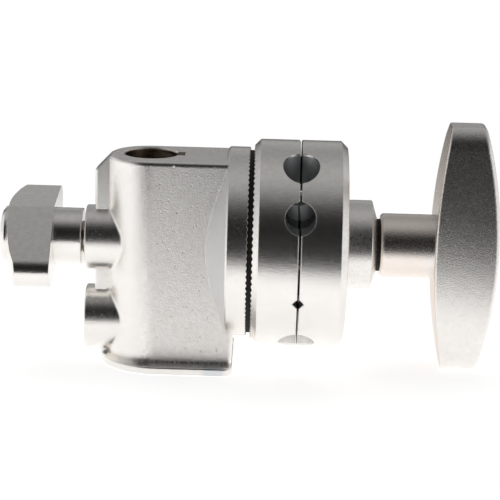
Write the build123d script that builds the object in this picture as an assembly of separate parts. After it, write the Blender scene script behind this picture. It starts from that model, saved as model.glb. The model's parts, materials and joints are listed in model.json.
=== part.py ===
from build123d import *
import math
import os

# Grip head with a 5/8 inch stud socket, two grooved jaws and a T-handle.
# Lengths are millimetres. The origin is the centre of the socket's lower mouth,
# +Z runs up the socket and +X runs along the spindle towards the T-handle.

SPINDLE_Z = 39.1          # spindle axis above the foot of the receiver
STEP_DOWN = 25.9          # spacing of the two locking screw bosses
THROUGH = 150.0           # long enough to reach right through the part

# receiver casting
SOCKET_R = 8.1            # takes a 5/8 inch (15.9 mm) stud
SOCKET_TOP = SPINDLE_Z + 27.5
BODY_HALF = 13.0          # half thickness of the block round the socket
BODY_END = 26.8
KEYWAY_WIDE, KEYWAY_DEEP = 5.4, 2.6
FOOT_THICK = 2.4
FOOT_R, FOOT_X, FOOT_END = 18.5, 3.4, 27.2
BOSS_R, BOSS_FACE, BOSS_BLEND = 10.2, -20.0, 1.4
RIB_HALF = 3.4
RIB_OUT = -17.1
SCREW_HOLE_R = 5.05
CONE_START, CONE_R = 18.0, 13.0
DISC_R, DISC_BACK, DISC_FACE = 29.8, 24.4, 31.15
TOOTH_COUNT, TOOTH_DEEP = 96, 0.45
TEETH_INNER = 26.0        # the serrated rims start this far from the axis
RIB_TOP, RIB_TOP_END = SOCKET_TOP - 0.4, -12.3

# spindle
STUD_R, STUD_START, STUD_SHOULDER = 6.0, 12.8, 71.0
THREAD_R, THREAD_END = 5.5, 96.9
PIN_X, PIN_R = 20.4, 2.0
PIN_START, PIN_END, PIN_HOLE_END = -9.8, 16.4, -10.0
STOP_R, STOP_LONG, STOP_HEAD_R, STOP_HEAD = 2.5, 8.0, 4.25, 3.0
STOP_WASHER_R, STOP_WASHER = 6.0, 1.4

# jaws
JAW_R = 32.4
INNER_BACK, INNER_FACE = 32.35, 46.82
OUTER_FACE, OUTER_BACK = 46.88, 61.45
PARTING = (INNER_FACE + OUTER_FACE) / 2
RIM_RELIEF, LAND_R, RIM_EDGE = 0.2, 27.2, 0.3
BEVEL = 2.0
SLIDE_BORE_R = 6.05
GROOVE_A_R, GROOVE_A_Y = 5.65, -16.2     # grips a 1/2 inch rod
GROOVE_B_R, GROOVE_B_Z = 4.7, 14.3       # grips a 3/8 inch rod
GROOVE_C_R, GROOVE_C_Y = 7.3, 17.3       # grips a 5/8 inch rod
GROOVE_D_DEEP, GROOVE_D_Z = 1.7, -12.0   # V groove, grips a 1/4 inch rod
GROOVE_LIP = 0.35
POCKET_R, POCKET_DEEP = 7.5, 6.0
DOWEL_Y, DOWEL_R = 27.7, 1.75
DOWEL_SEAT, DOWEL_OUT, DOWEL_HOLE = 7.0, 7.8, 9.0    # depths either side of the parting
SPRING_R, SPRING_WIRE, SPRING_COILS = 6.75, 0.5, 4.5

# thrust bearing and collar
BEARING_R, BEARING_BORE = 11.5, 6.5
RACE_A, RACE_B = (61.5, 62.45), (64.49, 65.49)
ROLLER_X, ROLLER_R, ROLLER_COUNT = 63.47, 1.0, 16
ROLLER_RING, ROLLER_LONG = 9.3, 3.0
CAGE_IN, CAGE_OUT, CAGE_HALF = 6.9, 11.3, 0.6
COLLAR_R, COLLAR_START, COLLAR_CONE, COLLAR_END = 14.0, 61.75, 69.8, 71.4
COLLAR_BORE, COLLAR_NOSE, WASHER_R = 6.4, 8.4, 8.25

# T-handle
HUB_R, HUB_START = 10.05, 72.4
BAR_HALF = SPINDLE_Z      # the bar's low end reaches the foot's level
BAR_IN_MID, BAR_IN_END = 89.3, 93.2
BAR_OUT_MID, BAR_OUT_END = 109.4, 104.0
CROWN_MID, CROWN_SHOULDER, CROWN_END = 11.0, 8.2, 4.2    # half thickness of the bar
SHOULDER_Z = 32.2         # the bar rolls over from here to its end
BAR_BLANK = 12.5          # half width of the plate the bar is shaped from
BAR_OUT_ROUND, BAR_IN_ROUND = 1.6, 0.7
INSERT_R, INSERT = 7.6, (74.0, 91.6)
INSERT_BORE = 5.56
CAVITY_R, CAVITY_END = 6.4, 106.5
CAP_R = 7.2

# locking screw and its wing knob
SCREW_R, SCREW_START, SCREW_TIP = 5.0, -41.5, -11.0
PAD_R, PAD_FACE = 4.7, -7.95
PAD_STEM_R, PAD_STEM = 2.0, 3.0
KNOB_HUB_R, KNOB_LEFT, KNOB_RIGHT = 9.0, -46.6, -21.0
KNOB_NOSE = [(KNOB_LEFT, 0), (KNOB_LEFT, 6.4), (KNOB_LEFT + 0.4, 7.8), (KNOB_LEFT + 1.4, KNOB_HUB_R)]
WING_REACH, WING_NOSE, WING_ROOT = 16.8, 5.4, 11.6
WING_SPAN, WING_RIGHT = 22.6, -29.8
WING_TILT = 26.0          # the near wing points this far below level
# the hollow left edge of the wings, as (x, radius) points
WING_HOLLOW = [(-44.6, 0), (-44.4, 9.5), (-43.6, 12.5), (-42.4, 16.5), (-40.9, 19.8),
               (-40.3, WING_SPAN)]


def place(shape, x=0.0, y=0.0, z=0.0):
    return Pos(x, y, z) * shape


def x_rod(radius, start, end, y=0.0, z=SPINDLE_Z):
    rod = Rot(0, 90, 0) * Cylinder(radius, end - start)
    return place(rod, (start + end) / 2, y, z)


def y_rod(radius, start, end, x, z):
    rod = Rot(90, 0, 0) * Cylinder(radius, end - start)
    return place(rod, x, (start + end) / 2, z)


def z_rod(radius, start, end, x=0.0, y=0.0):
    return place(Cylinder(radius, end - start), x, y, (start + end) / 2)


def block(x0, x1, y0, y1, z0, z1):
    return place(Box(x1 - x0, y1 - y0, z1 - z0), (x0 + x1) / 2, (y0 + y1) / 2, (z0 + z1) / 2)


def turned(points):
    """A body of revolution about the spindle axis, from (x, radius) points."""
    outline = make_face(Polyline(*[(x, r, 0) for x, r in points], close=True))
    return place(revolve(outline, Axis.X), z=SPINDLE_Z)


def ring(inner, outer, start, end):
    return x_rod(outer, start, end) - x_rod(inner, start - 1, end + 1)


def side_plate(points, half):
    """A plate seen from the side, from (x, z) points, centred on the Y = 0 plane."""
    outline = make_face(Polyline(*[(x, 0, z) for x, z in points], close=True))
    return extrude(outline, amount=half, dir=(0, 1, 0), both=True)


def teeth(face_x, side, inner, outer):
    """Radial V cuts for a serrated rim; side is the way the face looks along X."""
    cuts = []
    half = math.pi * outer / TOOTH_COUNT
    tip = face_x - side * TOOTH_DEEP
    lip = face_x + side * 0.02
    cut_outline = make_face(Polyline((lip, -half, inner), (lip, half, inner),
                                     (tip, 0, inner), close=True))
    cut = extrude(cut_outline, amount=outer - inner, dir=(0, 0, 1))
    for step in range(TOOTH_COUNT):
        turned_cut = Rot(360.0 * step / TOOTH_COUNT, 0, 0) * cut
        cuts.append(place(turned_cut, z=SPINDLE_Z))
    return cuts


def receiver_casting():
    body = block(0, BODY_END, -BODY_HALF, BODY_HALF, 0, SOCKET_TOP)
    body += z_rod(BODY_HALF, 0, SOCKET_TOP)
    body = fillet(body.edges().filter_by(Axis.Z).group_by(Axis.X)[-1], 1.2)
    body = fillet(body.edges().group_by(Axis.Z)[-1], 1.6)

    foot = block(FOOT_X, FOOT_END, -FOOT_R, FOOT_R, 0, FOOT_THICK)
    foot += z_rod(FOOT_R, 0, FOOT_THICK, FOOT_X)
    foot = fillet(foot.edges().filter_by(Axis.Z).group_by(Axis.X)[-1], 3.0)
    foot = fillet(foot.edges().group_by(Axis.Z)[-1], 0.7)

    low = SPINDLE_Z - STEP_DOWN
    bosses = x_rod(BOSS_R, BOSS_FACE, 2) + x_rod(BOSS_R, BOSS_FACE, 2, z=low)
    bosses = fillet(bosses.edges().group_by(Axis.X)[0], 0.6)
    body = soften_bosses(body + bosses, low)
    rib = side_plate([(0, RIB_TOP), (RIB_TOP_END, RIB_TOP), (RIB_OUT, SOCKET_TOP - 5.5),
                      (RIB_OUT, 5.5), (-14.0, 2.0), (0, 2.0)], RIB_HALF)
    rib = fillet(rib.edges().filter_by(Axis.Z), 0.8)
    disc = turned([(CONE_START, 0), (CONE_START, CONE_R), (DISC_BACK, DISC_R - 0.4),
                   (DISC_BACK + 0.5, DISC_R), (DISC_FACE - 0.2, DISC_R), (DISC_FACE, DISC_R - 0.2),
                   (DISC_FACE, 0)])
    casting = body + foot + rib + disc

    casting -= z_rod(SOCKET_R, -1, SOCKET_TOP + 1)
    casting -= z_rod(SOCKET_R + 0.7, SOCKET_TOP - 0.35, SOCKET_TOP + 1)
    casting -= block(0, SOCKET_R + KEYWAY_DEEP, -KEYWAY_WIDE / 2, KEYWAY_WIDE / 2, -1, SOCKET_TOP + 1)
    casting -= x_rod(SCREW_HOLE_R, BOSS_FACE - 1, 0)
    casting -= x_rod(SCREW_HOLE_R, BOSS_FACE - 1, 0, z=low)
    casting -= y_rod(PIN_R, PIN_HOLE_END, THROUGH, PIN_X, SPINDLE_Z)
    casting -= x_rod(STUD_R, STUD_START, DISC_FACE + 1)
    return casting - teeth(DISC_FACE, 1, TEETH_INNER, DISC_R + 0.5)


def soften_bosses(body, low):
    """Rounds the corner where each screw boss runs into the block."""
    seams = []
    for edge in body.edges():
        middle = edge.position_at(0.5)
        level = min(abs(middle.Z - SPINDLE_Z), abs(middle.Z - low))
        if -BODY_HALF - 0.5 < middle.X < -5 and level < BOSS_R + 0.5 and edge.length > 20:
            seams.append(edge)
    return fillet(seams, BOSS_BLEND)


def spindle_stud():
    stud = turned([(STUD_START, 0), (STUD_START, STUD_R - 0.8), (STUD_START + 0.8, STUD_R),
                   (STUD_SHOULDER - 0.3, STUD_R), (STUD_SHOULDER, THREAD_R),
                   (THREAD_END, THREAD_R), (THREAD_END, 0)])
    stud -= x_rod(STOP_R, THREAD_END - STOP_LONG - 1, THREAD_END + 1)
    return stud - y_rod(PIN_R, -THROUGH, THROUGH, PIN_X, SPINDLE_Z)


def spindle_pin():
    return y_rod(PIN_R, PIN_START, PIN_END, PIN_X, SPINDLE_Z)


def friction_disc():
    return ring(STUD_R + 0.3, DISC_R - 1.0, DISC_FACE, INNER_BACK - 0.1)


def stop_washer():
    return ring(STOP_R + 0.05, STOP_WASHER_R, THREAD_END, THREAD_END + STOP_WASHER)


def stop_screw():
    seat = THREAD_END + STOP_WASHER
    screw = x_rod(STOP_R, THREAD_END - STOP_LONG, seat) + x_rod(STOP_HEAD_R, seat, seat + STOP_HEAD)
    socket = place(Rot(0, 90, 0) * extrude(RegularPolygon(2.0, 6), amount=2.2), seat + 1.4, 0, SPINDLE_Z)
    return screw - socket


def groove_cuts():
    """The four rod holes, each cut half into either jaw."""
    reach = JAW_R + 2
    low, high = SPINDLE_Z - reach, SPINDLE_Z + reach
    vee = side_plate([(PARTING - GROOVE_D_DEEP, SPINDLE_Z + GROOVE_D_Z),
                      (PARTING, SPINDLE_Z + GROOVE_D_Z + GROOVE_D_DEEP),
                      (PARTING + GROOVE_D_DEEP, SPINDLE_Z + GROOVE_D_Z),
                      (PARTING, SPINDLE_Z + GROOVE_D_Z - GROOVE_D_DEEP)], reach)
    return [z_rod(GROOVE_A_R, low, high, PARTING, GROOVE_A_Y),
            y_rod(GROOVE_B_R, -reach, reach, PARTING, SPINDLE_Z + GROOVE_B_Z),
            z_rod(GROOVE_C_R, low, high, PARTING, GROOVE_C_Y),
            vee]


def soften_lips(jaw):
    """Rounds the edges where the rod holes leave the jaw's round rim."""
    lips = []
    for edge in jaw.edges():
        middle = edge.position_at(0.5)
        radius = math.hypot(middle.Y, middle.Z - SPINDLE_Z)
        along = abs(edge.tangent_at(0.5).X)
        if abs(radius - JAW_R) < 0.05 and along > 0.1 and abs(middle.X - PARTING) < GROOVE_C_R + 0.5:
            lips.append(edge)
    return chamfer(lips, GROOVE_LIP)


def inner_jaw():
    rim = INNER_FACE - RIM_RELIEF
    jaw = turned([(INNER_BACK, SLIDE_BORE_R), (INNER_BACK, JAW_R - BEVEL), (INNER_BACK + BEVEL, JAW_R),
                  (rim - RIM_EDGE, JAW_R), (rim, JAW_R - RIM_EDGE), (rim, LAND_R), (INNER_FACE, LAND_R),
                  (INNER_FACE, SLIDE_BORE_R)])
    jaw = soften_lips(jaw - groove_cuts())
    jaw -= x_rod(POCKET_R, INNER_FACE - POCKET_DEEP, INNER_FACE + 1)
    for y in (-DOWEL_Y, DOWEL_Y):
        jaw -= x_rod(DOWEL_R, INNER_FACE - DOWEL_SEAT, INNER_FACE + 1, y)
    return jaw - teeth(INNER_BACK, -1, TEETH_INNER, JAW_R - BEVEL + 1.2)


def outer_jaw():
    rim = OUTER_FACE + RIM_RELIEF
    jaw = turned([(OUTER_FACE, SLIDE_BORE_R), (OUTER_FACE, LAND_R), (rim, LAND_R), (rim, JAW_R - RIM_EDGE),
                  (rim + RIM_EDGE, JAW_R), (OUTER_BACK - BEVEL, JAW_R), (OUTER_BACK, JAW_R - BEVEL),
                  (OUTER_BACK, SLIDE_BORE_R)])
    jaw = soften_lips(jaw - groove_cuts())
    jaw -= x_rod(POCKET_R, OUTER_FACE - 1, OUTER_FACE + POCKET_DEEP)
    for y in (-DOWEL_Y, DOWEL_Y):
        jaw -= x_rod(DOWEL_R + 0.05, OUTER_FACE - 1, OUTER_FACE + DOWEL_HOLE, y)
    return jaw


def alignment_pins():
    return [x_rod(DOWEL_R, INNER_FACE - DOWEL_SEAT, OUTER_FACE + DOWEL_OUT, y) for y in (-DOWEL_Y, DOWEL_Y)]


def jaw_spring():
    start = INNER_FACE - POCKET_DEEP + SPRING_WIRE + 0.05
    end = OUTER_FACE + POCKET_DEEP - SPRING_WIRE - 0.05
    path = Helix(pitch=(end - start) / SPRING_COILS, height=end - start, radius=SPRING_R)
    section = Plane(origin=path @ 0, z_dir=path % 0) * Circle(SPRING_WIRE)
    coil = Rot(0, 90, 0) * sweep(section, path=path)
    return place(coil, start, 0, SPINDLE_Z)


def thrust_race(span, bore):
    return ring(bore, BEARING_R, *span)


def needle_rollers():
    roller = place(Cylinder(ROLLER_R, ROLLER_LONG), ROLLER_X, 0, ROLLER_RING)
    return [place(Rot(360.0 * step / ROLLER_COUNT, 0, 0) * roller, z=SPINDLE_Z)
            for step in range(ROLLER_COUNT)]


def needle_cage():
    cage = ring(CAGE_IN, CAGE_OUT, ROLLER_X - CAGE_HALF, ROLLER_X + CAGE_HALF)
    slot = place(Box(3, 2 * ROLLER_R + 0.1, ROLLER_LONG + 0.1), ROLLER_X, 0, ROLLER_RING)
    return cage - [place(Rot(360.0 * step / ROLLER_COUNT, 0, 0) * slot, z=SPINDLE_Z)
                   for step in range(ROLLER_COUNT)]


def thrust_collar():
    return turned([(COLLAR_START, BEARING_R + 0.2), (COLLAR_START, COLLAR_R - 0.6),
                   (COLLAR_START + 0.6, COLLAR_R), (COLLAR_CONE - 0.3, COLLAR_R),
                   (COLLAR_CONE, COLLAR_R - 0.3), (COLLAR_END, COLLAR_NOSE), (COLLAR_END, COLLAR_BORE),
                   (RACE_B[1], COLLAR_BORE), (RACE_B[1], BEARING_R + 0.2)])


def pressure_washer():
    return ring(COLLAR_BORE, WASHER_R, COLLAR_END, HUB_START)


def crown_outline():
    """The bar seen along the spindle: crowned faces that roll over to a narrow flat at each end."""
    def spot(across, up):
        return (0, across, SPINDLE_Z + up)

    lines = []
    for way in (1, -1):
        face = ThreePointArc(spot(way * CROWN_SHOULDER, -SHOULDER_Z), spot(way * CROWN_MID, 0),
                             spot(way * CROWN_SHOULDER, SHOULDER_Z))
        lines.append(face)
        lines.append(TangentArc(face @ 1, spot(way * CROWN_END, BAR_HALF), tangent=face % 1))
        lines.append(TangentArc(face @ 0, spot(way * CROWN_END, -BAR_HALF), tangent=(face % 0) * -1))
        lines.append(Line(spot(-CROWN_END, way * BAR_HALF), spot(CROWN_END, way * BAR_HALF)))
    return Wire(lines)


def t_handle():
    low, high = SPINDLE_Z - BAR_HALF, SPINDLE_Z + BAR_HALF
    inner = ThreePointArc((BAR_IN_END, 0, low), (BAR_IN_MID, 0, SPINDLE_Z), (BAR_IN_END, 0, high))
    outer = ThreePointArc((BAR_OUT_END, 0, high), (BAR_OUT_MID, 0, SPINDLE_Z), (BAR_OUT_END, 0, low))
    ends = [Line((BAR_IN_END, 0, high), (BAR_OUT_END, 0, high)),
            Line((BAR_OUT_END, 0, low), (BAR_IN_END, 0, low))]
    side = make_face(Wire([inner, ends[0], outer, ends[1]]))
    side = extrude(side, amount=BAR_BLANK, dir=(0, 1, 0), both=True)
    front = extrude(make_face(crown_outline()), amount=THROUGH, dir=(1, 0, 0))
    bar = side & front
    bar = fillet(bar.faces().sort_by(Axis.X)[-1].edges(), BAR_OUT_ROUND)
    bar = fillet(bar.faces().sort_by(Axis.X)[0].edges(), BAR_IN_ROUND)
    hub = x_rod(HUB_R, HUB_START, BAR_IN_MID + 6)
    hub = fillet(hub.edges().group_by(Axis.X)[0], 1.3)
    handle = bar + hub
    handle -= x_rod(COLLAR_BORE, HUB_START - 1, INSERT[0] + 1)
    handle -= x_rod(INSERT_R, *INSERT)
    handle -= x_rod(CAVITY_R, INSERT[0] + 1, CAVITY_END)
    return handle - x_rod(CAP_R, CAVITY_END, BAR_OUT_MID + 1)


def handle_thread_insert():
    return ring(INSERT_BORE, INSERT_R, *INSERT)


def handle_end_cap():
    cap = x_rod(CAP_R, CAVITY_END, BAR_OUT_MID - 0.3)
    return chamfer(cap.edges().group_by(Axis.X)[-1], 0.5)


def lock_pressure_pad():
    pad = x_rod(PAD_R, SCREW_TIP + 0.15, PAD_FACE)
    pad = chamfer(pad.edges().group_by(Axis.X)[-1], 0.4)
    return pad + x_rod(PAD_STEM_R, SCREW_TIP - PAD_STEM, SCREW_TIP + 1)


def lock_screw():
    screw = x_rod(SCREW_R, SCREW_START, SCREW_TIP)
    screw = chamfer(screw.edges().group_by(Axis.X)[-1], 0.5)
    return screw - x_rod(PAD_STEM_R + 0.08, SCREW_TIP - PAD_STEM - 0.3, SCREW_TIP + 1)


def wing_outline():
    """The two wings seen along the spindle, lying level: thick in the middle, a round nose each side."""
    span = math.hypot(WING_ROOT, WING_REACH)
    lean = math.atan2(WING_ROOT, WING_REACH) - math.asin(WING_NOSE / span)
    out, up = WING_REACH + WING_NOSE * math.sin(lean), WING_NOSE * math.cos(lean)
    outline = make_face(Polyline((0, WING_ROOT), (out, up), (out, -up), (0, -WING_ROOT),
                                 (-out, -up), (-out, up), close=True))
    return outline + Pos(WING_REACH, 0) * Circle(WING_NOSE) + Pos(-WING_REACH, 0) * Circle(WING_NOSE)


def lock_knob():
    hub = turned([*KNOB_NOSE, (KNOB_RIGHT - 0.3, KNOB_HUB_R), (KNOB_RIGHT, KNOB_HUB_R - 0.3),
                  (KNOB_RIGHT, 0)])
    wing = Rot(0, 90, 0) * Rot(0, 0, 90) * extrude(wing_outline(), amount=THROUGH, both=True)
    wing = place(Rot(WING_TILT, 0, 0) * wing, 0, 0, SPINDLE_Z)
    wing = wing & turned([*WING_HOLLOW, (WING_RIGHT - 0.5, WING_SPAN), (WING_RIGHT, WING_SPAN - 0.4),
                          (WING_RIGHT, 0)])
    return hub + wing - x_rod(SCREW_R, SCREW_START, 0)


PARTS = {
    "receiver_casting": receiver_casting(),
    "spindle_stud": spindle_stud(),
    "spindle_pin": spindle_pin(),
    "friction_disc": friction_disc(),
    "stop_washer": stop_washer(),
    "stop_screw": stop_screw(),
    "inner_jaw": inner_jaw(),
    "outer_jaw": outer_jaw(),
    "alignment_pins": alignment_pins(),
    "jaw_spring": jaw_spring(),
    "thrust_race_inner": thrust_race(RACE_A, SLIDE_BORE_R),
    "thrust_race_outer": thrust_race(RACE_B, BEARING_BORE),
    "needle_cage": needle_cage(),
    "needle_rollers": needle_rollers(),
    "thrust_collar": thrust_collar(),
    "pressure_washer": pressure_washer(),
    "t_handle": t_handle(),
    "handle_thread_insert": handle_thread_insert(),
    "handle_end_cap": handle_end_cap(),
    "lock_pressure_pad": lock_pressure_pad(),
    "lock_screw": lock_screw(),
    "lock_knob": lock_knob(),
}

os.makedirs("parts", exist_ok=True)
for name, shape in PARTS.items():
    if isinstance(shape, list):
        shape = Compound(children=shape)
    export_step(shape, f"parts/{name}.step")
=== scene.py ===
import json
import math

import bmesh
import bpy
from mathutils import Matrix, Vector


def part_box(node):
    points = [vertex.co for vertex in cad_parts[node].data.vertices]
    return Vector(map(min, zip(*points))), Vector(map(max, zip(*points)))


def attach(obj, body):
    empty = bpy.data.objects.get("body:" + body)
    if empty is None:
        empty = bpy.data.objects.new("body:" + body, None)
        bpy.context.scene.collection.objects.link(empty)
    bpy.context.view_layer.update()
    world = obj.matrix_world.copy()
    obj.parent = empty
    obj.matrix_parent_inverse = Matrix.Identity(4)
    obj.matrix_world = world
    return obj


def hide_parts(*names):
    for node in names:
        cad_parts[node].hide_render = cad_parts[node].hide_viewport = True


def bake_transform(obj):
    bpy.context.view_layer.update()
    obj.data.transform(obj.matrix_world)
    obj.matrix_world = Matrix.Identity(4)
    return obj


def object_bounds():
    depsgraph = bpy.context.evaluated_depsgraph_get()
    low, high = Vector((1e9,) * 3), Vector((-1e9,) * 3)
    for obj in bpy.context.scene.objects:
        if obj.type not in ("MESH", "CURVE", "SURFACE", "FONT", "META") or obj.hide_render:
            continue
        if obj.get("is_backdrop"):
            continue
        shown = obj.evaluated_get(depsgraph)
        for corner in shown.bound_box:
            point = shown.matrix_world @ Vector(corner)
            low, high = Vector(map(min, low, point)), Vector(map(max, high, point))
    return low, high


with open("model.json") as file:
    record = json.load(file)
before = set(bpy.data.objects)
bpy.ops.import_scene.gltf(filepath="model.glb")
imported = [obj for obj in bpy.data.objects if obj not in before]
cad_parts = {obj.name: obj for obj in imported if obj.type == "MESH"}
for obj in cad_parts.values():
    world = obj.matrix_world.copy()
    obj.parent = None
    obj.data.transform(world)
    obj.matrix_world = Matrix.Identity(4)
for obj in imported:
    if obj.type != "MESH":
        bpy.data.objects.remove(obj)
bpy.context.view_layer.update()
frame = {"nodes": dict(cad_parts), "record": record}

MM = 0.001
SPINDLE_Z = 39.1 * MM
PALE = (0.86, 0.86, 0.86, 1)

# ---------------------------------------------------------------- camera

CAMERA_DISTANCE = 600 * MM
CAMERA_ELEVATION = math.radians(13.92)
CAMERA_X = 35.8 * MM
AIM_POINT = Vector((31.7 * MM, 0, SPINDLE_Z - 2.9 * MM))
CAMERA_ROLL = math.radians(1.56)
FOCAL_LENGTH, SENSOR_WIDTH = 136.7, 36      # both in mm, as the camera takes them


def make_camera():
    camera = bpy.data.objects.new("camera", bpy.data.cameras.new("camera"))
    bpy.context.collection.objects.link(camera)
    camera.data.sensor_width = SENSOR_WIDTH
    camera.data.lens = FOCAL_LENGTH
    camera.data.clip_start = 0.01
    camera.location = (CAMERA_X, -CAMERA_DISTANCE * math.cos(CAMERA_ELEVATION),
                       SPINDLE_Z + CAMERA_DISTANCE * math.sin(CAMERA_ELEVATION))
    look = (AIM_POINT - camera.location).to_track_quat("-Z", "Y").to_matrix()
    camera.rotation_euler = (look @ Matrix.Rotation(CAMERA_ROLL, 3, "Z")).to_euler()
    bpy.context.scene.camera = camera


make_camera()
bpy.context.scene.view_settings.view_transform = "Standard"

# ---------------------------------------------------------------- shader tools


class Tree:
    """A node tree being built: short calls that add nodes and join them."""

    def __init__(self, tree):
        self.nodes, self.links = tree.nodes, tree.links

    def add(self, kind, **settings):
        node = self.nodes.new("ShaderNode" + kind)
        for key, value in settings.items():
            setattr(node, key, value)
        return node

    def feed(self, socket, value):
        """Gives a socket a number, or joins it to another node's output."""
        if isinstance(value, (int, float)):
            socket.default_value = value
        else:
            self.links.new(value, socket)

    def split(self, vector):
        node = self.add("SeparateXYZ")
        self.links.new(vector, node.inputs[0])
        return node.outputs

    def maths(self, operation, *values):
        node = self.add("Math", operation=operation)
        for socket, value in zip(node.inputs, values):
            self.feed(socket, value)
        return node.outputs[0]

    def all_of(self, *masks):
        """1 where every mask is 1."""
        result = masks[0]
        for mask in masks[1:]:
            result = self.maths("MULTIPLY", result, mask)
        return result

    def span(self, value, low, high, out_low, out_high, smooth=False):
        """Carries the range from low to high over to the range from out_low to out_high."""
        node = self.add("MapRange", interpolation_type="SMOOTHSTEP" if smooth else "LINEAR")
        for name, number in zip(("From Min", "From Max", "To Min", "To Max"), (low, high, out_low, out_high)):
            node.inputs[name].default_value = number
        self.links.new(value, node.inputs["Value"])
        return node.outputs[0]

    def rise(self, value, low, high):
        """0 below low and 1 above high."""
        return self.span(value, low, high, 0, 1)

    def fall(self, value, low, high):
        """1 below low and 0 above high."""
        return self.span(value, low, high, 1, 0)

    def blend(self, factor, first, second):
        mix = self.add("Mix")
        for name, value in (("Factor", factor), ("A", first), ("B", second)):
            self.feed(mix.inputs[name], value)
        return mix.outputs["Result"]


class Shader(Tree):
    """A material, which starts as Blender's plain surface."""

    def __init__(self, name):
        self.material = bpy.data.materials.new(name)
        self.material.use_nodes = True
        super().__init__(self.material.node_tree)
        self.surface = self.nodes["Principled BSDF"]
        where = self.add("TexCoord")
        self.place, self.facing = where.outputs["Object"], where.outputs["Normal"]

    def distance(self, first, second):
        """Distance from the line where both values are 0."""
        squares = self.maths("ADD", self.maths("POWER", first, 2), self.maths("POWER", second, 2))
        return self.maths("SQRT", squares)

    def noise(self, scale, detail, roughness, stretch=(1, 1, 1)):
        mapping = self.add("Mapping")
        mapping.inputs["Scale"].default_value = stretch
        self.links.new(self.place, mapping.inputs["Vector"])
        noise = self.add("TexNoise")
        noise.inputs["Scale"].default_value = scale
        noise.inputs["Detail"].default_value = detail
        noise.inputs["Roughness"].default_value = roughness
        self.links.new(mapping.outputs[0], noise.inputs["Vector"])
        return noise.outputs["Fac"]

    def colour(self, factor, dark, light):
        """The base colour, from dark to light."""
        mix = self.add("Mix", data_type="RGBA")
        self.links.new(factor, mix.inputs["Factor"])
        mix.inputs["A"].default_value = (*dark, 1)
        mix.inputs["B"].default_value = (*light, 1)
        self.links.new(mix.outputs["Result"], self.surface.inputs["Base Color"])

    def tint(self, factor, colour):
        """Lays a second colour over the base colour where the factor is 1."""
        base = self.surface.inputs["Base Color"].links[0].from_socket
        mix = self.add("Mix", data_type="RGBA")
        self.links.new(factor, mix.inputs["Factor"])
        self.links.new(base, mix.inputs["A"])
        mix.inputs["B"].default_value = (*colour, 1)
        self.links.new(mix.outputs["Result"], self.surface.inputs["Base Color"])

    def rough(self, value):
        self.links.new(value, self.surface.inputs["Roughness"])

    def bump(self, height, distance, edge=0.0):
        """Relief of the given depth, with the edges rounded off by the edge radius."""
        bump = self.add("Bump")
        bump.inputs["Strength"].default_value = 1
        bump.inputs["Distance"].default_value = distance
        self.links.new(height, bump.inputs["Height"])
        if edge:
            bevel = self.add("Bevel", samples=4)
            bevel.inputs["Radius"].default_value = edge
            self.links.new(bevel.outputs[0], bump.inputs["Normal"])
        self.links.new(bump.outputs[0], self.surface.inputs["Normal"])


# ---------------------------------------------------------------- studio

# Brightness of the room by height, in degrees up from the front horizon and over the top.
ROOM = [(-180, 0.06), (-175, 0.07), (-168, 0.66), (-150, 0.80), (-62, 0.80), (-48, 0.07), (-8, 0.05),
        (4, 0.03), (14, 0.018), (32, 0.01), (46, 0.025), (58, 0.11), (70, 0.26), (84, 0.37), (98, 0.39),
        (114, 0.33), (134, 0.26), (158, 0.36), (168, 0.42), (177, 0.06), (180, 0.06)]
SIDE_FROM, SIDE_FULL = 0.50, 0.78           # how far sideways a direction points where the side walls start
SIDE_LOW, SIDE_HIGH = 0.80, 0.28            # the side walls' brightness, low down and high up
WALL_FOOT, WALL_HEAD = 0.15, 0.65           # the heights that those two stand for

LAMP_SIZE, LAMP_POWER = (1.6, 1.0), 4
LAMP_AT, LAMP_AIM = Vector((0, 0.5, 1.5)), Vector((0.03, 0, 0))

FLOOR_HALF, FLOOR_DROP = 3.0, 0.2 * MM
FLOOR_ROUGHNESS, FLOOR_SHINE, FLOOR_GLOW = 0.9, 0.1, 0.68
FRONT_SOLID, FRONT_GONE = -120 * MM, -255 * MM      # where the table thins out in front
FRONT_SLANT = -0.85                                 # the table's front edge runs nearer on the right
BACK_SOLID, BACK_GONE = 130 * MM, 270 * MM          # and where it thins out behind


def studio_world():
    """A white room with dark openings in front and behind, and soft grey higher up.
    The camera sees it as plain white."""
    world = bpy.data.worlds.new("studio")
    bpy.context.scene.world = world
    world.use_nodes = True
    tree = Tree(world.node_tree)
    tree.nodes.clear()
    x, y, z = tree.split(tree.add("TexCoord").outputs["Generated"])
    angle = tree.maths("ARCTAN2", z, tree.maths("MULTIPLY", y, -1.0))
    ramp = tree.add("ValToRGB")
    tree.links.new(tree.rise(angle, -math.pi, math.pi), ramp.inputs["Fac"])
    elements = ramp.color_ramp.elements
    while len(elements) < len(ROOM):
        elements.new(0.5)
    for element, (degrees, value) in zip(elements, ROOM):
        element.position = (degrees + 180) / 360
        element.color = (value, value, value, 1)
    side = tree.span(tree.maths("ABSOLUTE", x), SIDE_FROM, SIDE_FULL, 0, 1, smooth=True)
    wall = tree.span(z, WALL_FOOT, WALL_HEAD, SIDE_LOW, SIDE_HIGH)
    room = tree.blend(side, ramp.outputs["Color"], wall)
    shown = tree.blend(tree.add("LightPath").outputs["Is Camera Ray"], room, 1.0)
    light = tree.add("Background")
    tree.links.new(shown, light.inputs["Color"])
    tree.links.new(light.outputs[0], tree.add("OutputWorld").inputs["Surface"])


def overhead_light():
    """A soft lamp above, which lights the matte surfaces and isn't mirrored in the metal."""
    lamp = bpy.data.objects.new("overhead", bpy.data.lights.new("overhead", "AREA"))
    bpy.context.collection.objects.link(lamp)
    lamp.data.shape = "RECTANGLE"
    lamp.data.size, lamp.data.size_y = LAMP_SIZE
    lamp.data.energy = LAMP_POWER
    lamp.visible_glossy = False
    lamp.location = LAMP_AT
    lamp.rotation_euler = (LAMP_AIM - LAMP_AT).to_track_quat("-Z", "Y").to_euler()


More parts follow.
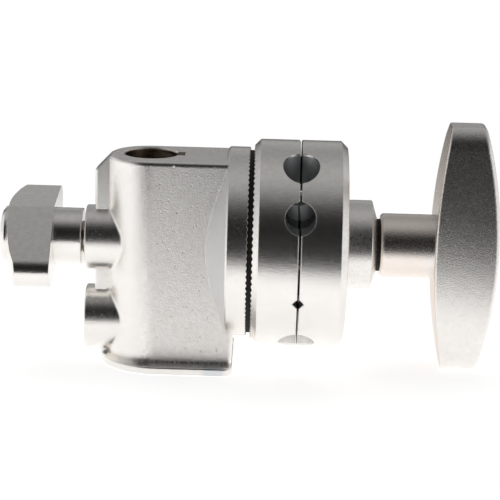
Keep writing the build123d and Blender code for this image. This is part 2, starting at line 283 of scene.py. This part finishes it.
def floor():
    """A white table top that thins out to nothing in front and behind."""
    corners = [(-FLOOR_HALF, -FLOOR_HALF, 0), (FLOOR_HALF, -FLOOR_HALF, 0),
               (FLOOR_HALF, FLOOR_HALF, 0), (-FLOOR_HALF, FLOOR_HALF, 0)]
    mesh = bpy.data.meshes.new("floor")
    mesh.from_pydata(corners, [], [(0, 1, 2, 3)])
    obj = bpy.data.objects.new("floor", mesh)
    bpy.context.collection.objects.link(obj)
    obj.location.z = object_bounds()[0][2] - FLOOR_DROP
    shader = Shader("floor")
    for name, value in (("Base Color", PALE), ("Roughness", FLOOR_ROUGHNESS),
                        ("Specular IOR Level", FLOOR_SHINE), ("Emission Color", (1, 1, 1, 1)),
                        ("Emission Strength", FLOOR_GLOW)):
        shader.surface.inputs[name].default_value = value
    x, y, _ = shader.split(shader.place)
    slanted = shader.maths("MULTIPLY_ADD", x, FRONT_SLANT, y)
    front = shader.span(slanted, FRONT_GONE, FRONT_SOLID, 0, 1, smooth=True)
    back = shader.span(y, BACK_GONE, BACK_SOLID, 0, 1, smooth=True)
    shader.links.new(shader.all_of(front, back), shader.surface.inputs["Alpha"])
    mesh.materials.append(shader.material)
    obj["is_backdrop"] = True


studio_world()
overhead_light()
floor()

# ---------------------------------------------------------------- materials

WARM_DARK, WARM_LIGHT = (0.90, 0.87, 0.835), (0.965, 0.94, 0.91)
# The cone colour here is a painted dim bluish reflection.
# The third colour here is a painted warm reflection on the bar's side that faces the jaws.
CONE_REFLECTION_TINT, BORE_TINT, JAW_SIDE_REFLECTION_TINT = (0.76, 0.775, 0.79), (0.34, 0.27, 0.21), (0.70, 0.58, 0.49)
# The first colour here is near-black painted shade in the narrow gap between the jaws.
# The second colour here is painted shade in the upper part of the rod holes.
GAP_SHADE_TINT, HOLE_SHADE_TINT = (0.03, 0.028, 0.026), (0.50, 0.51, 0.52)
HUB_TINT = (0.95, 0.87, 0.81)
EDGE = 0.3 * MM
PARTING, JAW_R = 46.85 * MM, 32.4 * MM

# Each pair is where a finish starts to change and where the change is complete.
FLAT_FRONT = (-1.5 * MM, 2.5 * MM)          # along X, where the block's round end turns flat
BLOCK_SIDE = (13.02 * MM, 13.3 * MM)        # just outside the block's flat sides
FOOT_TOP, FLAT_TOP = (2.2 * MM, 4.0 * MM), (64.6 * MM, 65.6 * MM)
CONE_NEAR, CONE_FAR = (17.9 * MM, 18.4 * MM), (24.1 * MM, 24.6 * MM)
BORE_WALL = (8.3 * MM, 8.7 * MM)
HUB_END, BAR_START = (86 * MM, 89 * MM), (84 * MM, 86 * MM)
FACES_JAWS = (-0.9, -0.6)                   # the X of a surface's direction where it faces the jaws
HOLE_WIDTH, HOLE_RIM = (8.0 * MM, 9.0 * MM), (JAW_R - 0.7 * MM, JAW_R - 0.5 * MM)
HOLE_UPPER = (10 * MM, 20 * MM)             # the holes get painted shade above this height
GAP_WIDTH, GAP_RIM = (0.26 * MM, 0.38 * MM), (JAW_R - 0.4 * MM, JAW_R - 0.15 * MM)


def nickel(name):
    """The shared start of every plated finish: slightly warm metal with a faint mottle."""
    shader = Shader(name)
    shader.surface.inputs["Metallic"].default_value = 1
    shader.colour(shader.rise(shader.noise(600, 4, 0.6), 0.35, 0.65), WARM_DARK, WARM_LIGHT)
    return shader


def cloudy(shader, low, high):
    """Roughness that drifts between low and high in soft clouds."""
    return shader.span(shader.noise(1100, 4, 0.7), 0.3, 0.7, low, high)


def plated(name, roughness, grain, depth):
    """Plain plating: fine grain in the surface and a little cloud in its gloss."""
    shader = nickel(name)
    shader.rough(cloudy(shader, roughness * 0.8, roughness * 1.2))
    shader.bump(shader.noise(grain, 3, 0.6), depth, edge=EDGE)
    return shader.material


def receiver_plate(name):
    """The receiver's finish: sandy on the flat sides of its block, smoother on what was turned,
    with a painted dim bluish reflection on the cone, and tarnished brown inside the socket."""
    shader = nickel(name)
    x, y, z = shader.split(shader.place)
    width = shader.maths("ABSOLUTE", y)
    flat = shader.all_of(shader.rise(x, *FLAT_FRONT), shader.fall(width, *BLOCK_SIDE),
                         shader.rise(z, *FOOT_TOP), shader.fall(z, *FLAT_TOP))
    cone = shader.all_of(shader.rise(x, *CONE_NEAR), shader.rise(width, *BLOCK_SIDE),
                         shader.fall(x, *CONE_FAR))
    # Painted dim bluish reflection on the cone.
    shader.tint(cone, CONE_REFLECTION_TINT)
    shader.tint(shader.fall(shader.distance(x, y), *BORE_WALL), BORE_TINT)
    shader.rough(shader.blend(flat, cloudy(shader, 0.18, 0.28), cloudy(shader, 0.34, 0.46)))
    fine = shader.maths("MULTIPLY", shader.noise(2300, 4, 0.75), 0.45)
    pits = shader.span(shader.noise(700, 2, 0.5), 0.68, 0.74, 0, 1.2)
    sand = shader.maths("SUBTRACT", shader.noise(1900, 4, 0.7), pits)
    shader.bump(shader.blend(flat, fine, sand), 0.13 * MM, edge=EDGE)
    return shader.material


def handle_plate(name):
    """The T-handle's finish, warmer on its hub, with a painted warm reflection on the bar's side that faces
    the jaws.
    """
    shader = nickel(name)
    x = shader.split(shader.place)[0]
    away = shader.split(shader.facing)[0]
    shader.tint(shader.fall(x, *HUB_END), HUB_TINT)
    # Painted warm reflection on the bar's side that faces the jaws.
    shader.tint(shader.all_of(shader.fall(away, *FACES_JAWS), shader.rise(x, *BAR_START)), JAW_SIDE_REFLECTION_TINT)
    shader.rough(cloudy(shader, 0.19, 0.29))
    shader.bump(shader.noise(2500, 4, 0.75), 0.065 * MM, edge=EDGE)
    return shader.material


def jaw_plate(name):
    """The jaws' finish: rougher in the rod holes, with painted shade in their upper part, and near-black
    painted shade in the narrow gap.
    """
    shader = nickel(name)
    x, y, z = shader.split(shader.place)
    radius = shader.distance(y, shader.maths("SUBTRACT", z, SPINDLE_Z))
    gap = shader.maths("ABSOLUTE", shader.maths("SUBTRACT", x, PARTING))
    hole = shader.all_of(shader.fall(gap, *HOLE_WIDTH), shader.fall(radius, *HOLE_RIM))
    # Painted shade in the upper part of the rod holes.
    shader.tint(shader.all_of(hole, shader.rise(z, *HOLE_UPPER)), HOLE_SHADE_TINT)
    # Near-black painted shade in the narrow gap between the jaws.
    shader.tint(shader.all_of(shader.fall(gap, *GAP_WIDTH), shader.fall(radius, *GAP_RIM)), GAP_SHADE_TINT)
    shader.rough(shader.blend(hole, cloudy(shader, 0.17, 0.25), cloudy(shader, 0.48, 0.58)))
    shader.bump(shader.noise(2300, 4, 0.75), 0.055 * MM, edge=EDGE)
    return shader.material


def plain_metal(name, base, roughness):
    """Turned or drawn metal with fine lines round its axis."""
    shader = Shader(name)
    shader.surface.inputs["Metallic"].default_value = 1
    tone = shader.noise(300, 3, 0.6)
    shader.colour(shader.rise(tone, 0.3, 0.7), tuple(0.85 * part for part in base), base)
    lines = shader.noise(900, 2, 0.6, stretch=(6, 0.3, 0.3))
    shader.rough(shader.span(lines, 0.3, 0.7, roughness * 0.7, roughness * 1.3))
    shader.bump(lines, 0.02 * MM, edge=0.12 * MM)
    return shader.material


def fibre(name):
    """Black pressed fibre, faintly mottled and matte."""
    shader = Shader(name)
    mottle = shader.noise(700, 4, 0.7)
    shader.colour(mottle, (0.006, 0.006, 0.006), (0.03, 0.029, 0.027))
    shader.rough(shader.span(mottle, 0.3, 0.7, 0.7, 0.95))
    shader.bump(mottle, 0.05 * MM)
    return shader.material


MATERIALS = {
    "cast_nickel": plated("cast_nickel", 0.24, 2000, 0.07 * MM),
    "turned_nickel": plated("turned_nickel", 0.22, 2400, 0.030 * MM),
    "knob_nickel": plated("knob_nickel", 0.18, 2300, 0.040 * MM),
    "bright_steel": plain_metal("bright_steel", (0.62, 0.61, 0.60), 0.22),
    "friction_fibre": fibre("friction_fibre"),
    "brass": plain_metal("brass", (0.80, 0.60, 0.28), 0.25),
    "spring_steel": plain_metal("spring_steel", (0.42, 0.42, 0.43), 0.3),
}
OWN_FINISH = {
    "receiver_casting": receiver_plate("receiver_nickel"),
    "t_handle": handle_plate("handle_nickel"),
    "inner_jaw": jaw_plate("inner_jaw_nickel"),
    "outer_jaw": jaw_plate("outer_jaw_nickel"),
    "thrust_collar": plated("collar_nickel", 0.30, 2400, 0.035 * MM),
}


def dress_cad_nodes():
    slots = {row["node"]: row["material_slot"] for row in frame["record"]["subparts"]}
    for name, obj in frame["nodes"].items():
        obj.data.materials.clear()
        obj.data.materials.append(OWN_FINISH.get(name, MATERIALS[slots[name]]))


dress_cad_nodes()

# ---------------------------------------------------------------- threads

SHARP_ANGLE = math.radians(35)
PITCH = 1.5 * MM          # the locking screw is M10
AROUND, ALONG = 48, 12    # mesh steps in one turn, and along one pitch
CREST_HEIGHT, FLANK_SLOPE = 1.35, 3.1       # above 1, so that the crests come out flat
SCREW_DEPTH, SCREW_NOSE = 0.85 * MM, 0.8 * MM
HEAD_GAP, HEAD_STEP = 0.3 * MM, 0.3 * MM
SPARE_HOLE_Z = SPINDLE_Z - 25.9 * MM
SPARE_START, SPARE_END = -19.4 * MM, -8.4 * MM
SPARE_SLEEVE, SPARE_VALLEY, SPARE_CREST = 5.2 * MM, 5.03 * MM, 4.35 * MM


def thread_radius(x, turn, start, end, valley, crest):
    """Radius of a V thread at a place along the axis and round it; it runs out at both ends."""
    phase = ((x - start) / PITCH - turn) % 1.0
    ridge = min(1.0, max(0.0, CREST_HEIGHT - abs(phase - 0.5) * FLANK_SLOPE))
    run_out = min(1.0, (x - start) / PITCH, (end - x) / PITCH)
    return valley + (crest - valley) * ridge * max(0.0, run_out)


def ring_vertex(bm, x, radius, turn, height):
    angle = 2 * math.pi * turn
    return bm.verts.new((x, -radius * math.sin(angle), height + radius * math.cos(angle)))


def plain_ring(bm, x, radius, height):
    return [ring_vertex(bm, x, radius, step / AROUND, height) for step in range(AROUND)]


def thread_rings(bm, start, end, valley, crest, height):
    rows = round((end - start) / PITCH * ALONG)
    turns = [step / AROUND for step in range(AROUND)]
    rings = []
    for row in range(rows + 1):
        x = start + (end - start) * row / rows
        rings.append([ring_vertex(bm, x, thread_radius(x, turn, start, end, valley, crest), turn, height)
                      for turn in turns])
    return rings


def join_rings(bm, rings):
    """Faces between each ring and the next."""
    for near, far in zip(rings, rings[1:]):
        for step in range(len(near)):
            after = (step + 1) % len(near)
            bm.faces.new((near[step], near[after], far[after], far[step]))


def finish_mesh(name, bm, material):
    bmesh.ops.recalc_face_normals(bm, faces=bm.faces)
    mesh = bpy.data.meshes.new(name)
    bm.to_mesh(mesh)
    bm.free()
    mesh.materials.append(material)
    for polygon in mesh.polygons:
        polygon.use_smooth = True
    obj = bpy.data.objects.new(name, mesh)
    bpy.context.collection.objects.link(obj)
    mesh.set_sharp_from_angle(angle=SHARP_ANGLE)
    return obj


def threaded_lock_screw():
    """The locking screw with its real thread, in place of its plain cylinder."""
    low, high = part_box("lock_screw")
    crest = (high[2] - low[2]) / 2
    valley = crest - SCREW_DEPTH
    bm = bmesh.new()
    rings = thread_rings(bm, low[0] + HEAD_GAP, high[0] - SCREW_NOSE, valley, crest, SPINDLE_Z)
    rings.insert(0, plain_ring(bm, low[0], valley - HEAD_STEP, SPINDLE_Z))
    rings.append(plain_ring(bm, high[0], valley - SCREW_NOSE, SPINDLE_Z))
    join_rings(bm, rings)
    bm.faces.new(rings[0])
    bm.faces.new(list(reversed(rings[-1])))
    screw = finish_mesh("threaded_lock_screw", bm, MATERIALS["bright_steel"])
    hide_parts("lock_screw")
    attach(screw, "lock_knob")


def spare_hole_thread():
    """The thread in the empty lower boss."""
    bm = bmesh.new()
    rings = thread_rings(bm, SPARE_START, SPARE_END, SPARE_VALLEY, SPARE_CREST, SPARE_HOLE_Z)
    outer = [plain_ring(bm, x, SPARE_SLEEVE, SPARE_HOLE_Z) for x in (SPARE_END, SPARE_START)]
    join_rings(bm, rings + outer + rings[:1])
    thread = finish_mesh("spare_hole_thread", bm, MATERIALS["cast_nickel"])
    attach(thread, "receiver")


threaded_lock_screw()
spare_hole_thread()

# ---------------------------------------------------------------- spring

COILS, WIRE = 4.5, 0.5 * MM                 # the wire is given by its radius
ALONG_X = Vector((1, 0, 0))
COIL_STEPS, WIRE_SIDES = 40, 10


def jaw_coil():
    """The jaw spring, in place of the rigid solid."""
    low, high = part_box("jaw_spring")
    start, end = low[0] + WIRE, high[0] - WIRE
    radius = (high[2] - low[2]) / 2 - WIRE
    steps = round(COILS * COIL_STEPS)
    around = [2 * math.pi * side / WIRE_SIDES for side in range(WIRE_SIDES)]
    bm = bmesh.new()
    rings = []
    for step in range(steps + 1):
        turn = 2 * math.pi * COILS * step / steps
        outward = Vector((0, math.sin(turn), -math.cos(turn)))
        centre = Vector((start + (end - start) * step / steps, 0, SPINDLE_Z)) + outward * radius
        rings.append([bm.verts.new(centre + WIRE * (math.cos(angle) * outward + math.sin(angle) * ALONG_X))
                      for angle in around])
    join_rings(bm, rings)
    bm.faces.new(rings[0])
    bm.faces.new(list(reversed(rings[-1])))
    coil = finish_mesh("jaw_coil", bm, MATERIALS["spring_steel"])
    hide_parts("jaw_spring")
    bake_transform(coil)


jaw_coil()
